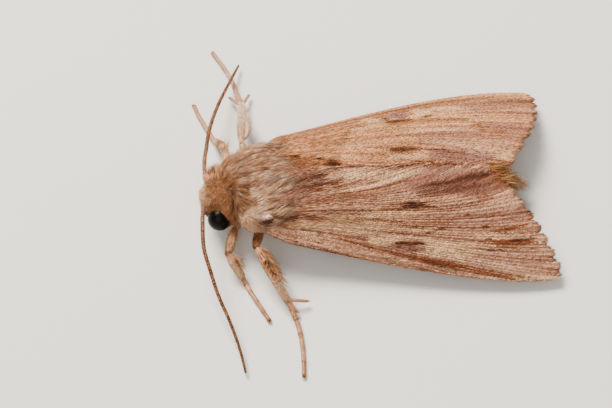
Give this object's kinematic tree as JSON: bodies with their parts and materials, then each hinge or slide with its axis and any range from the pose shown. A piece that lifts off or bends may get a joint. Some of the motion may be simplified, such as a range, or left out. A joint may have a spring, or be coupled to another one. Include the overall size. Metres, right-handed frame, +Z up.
{
  "type": "moth",
  "caption": "Life-size model of a large owlet moth at rest, with streaked straw-brown wings folded in a low roof, long feelers and the legs spread.",
  "frame": {"origin": "on the floor, under the middle of the moth's bounding box", "axes": "+X from the head to the wing tips, -Y the moth's left side, +Z up from the floor that the feet stand on"},
  "size_m": [0.0262, 0.0284, 0.0052],
  "materials": {
    "body_fur": "soft fur, matte",
    "collar_fur": "soft fur, matte",
    "abdomen_fur": "soft fur, matte",
    "forewing_scales": "fine scales, matte with a faint silky sheen",
    "hindwing_scales": "fine scales, matte",
    "leg_scales": "fine scales, matte",
    "feeler_horn": "horn, satin",
    "eye_glaze": "glossy"
  },
  "bodies": {
    "root": {"head": "body_fur", "collar": "collar_fur", "thorax": "body_fur", "abdomen": "abdomen_fur", "tail_tuft": "abdomen_fur", "tongue": "feeler_horn", "eye_left": "eye_glaze", "antenna_left": "feeler_horn", "palp_left": "body_fur", "tegula_left": "body_fur", "forewing_left": "forewing_scales", "hindwing_left": "hindwing_scales", "eye_right": "eye_glaze", "antenna_right": "feeler_horn", "palp_right": "body_fur", "tegula_right": "body_fur", "forewing_right": "forewing_scales", "hindwing_right": "hindwing_scales", "leg_fore_left_coxa": "leg_scales", "leg_fore_left_femur": "leg_scales", "leg_fore_left_tibia": "leg_scales", "leg_fore_left_tarsus": "leg_scales", "leg_fore_right_coxa": "leg_scales", "leg_fore_right_femur": "leg_scales", "leg_fore_right_tibia": "leg_scales", "leg_fore_right_tarsus": "leg_scales", "leg_mid_left_coxa": "leg_scales", "leg_mid_left_femur": "leg_scales", "leg_mid_left_tibia": "leg_scales", "leg_mid_left_tarsus": "leg_scales", "leg_mid_right_coxa": "leg_scales", "leg_mid_right_femur": "leg_scales", "leg_mid_right_tibia": "leg_scales", "leg_mid_right_tarsus": "leg_scales", "leg_hind_left_coxa": "leg_scales", "leg_hind_left_femur": "leg_scales", "leg_hind_left_tibia": "leg_scales", "leg_hind_left_tarsus": "leg_scales", "leg_hind_right_coxa": "leg_scales", "leg_hind_right_femur": "leg_scales", "leg_hind_right_tibia": "leg_scales", "leg_hind_right_tarsus": "leg_scales"}
  },
  "joints": []
}
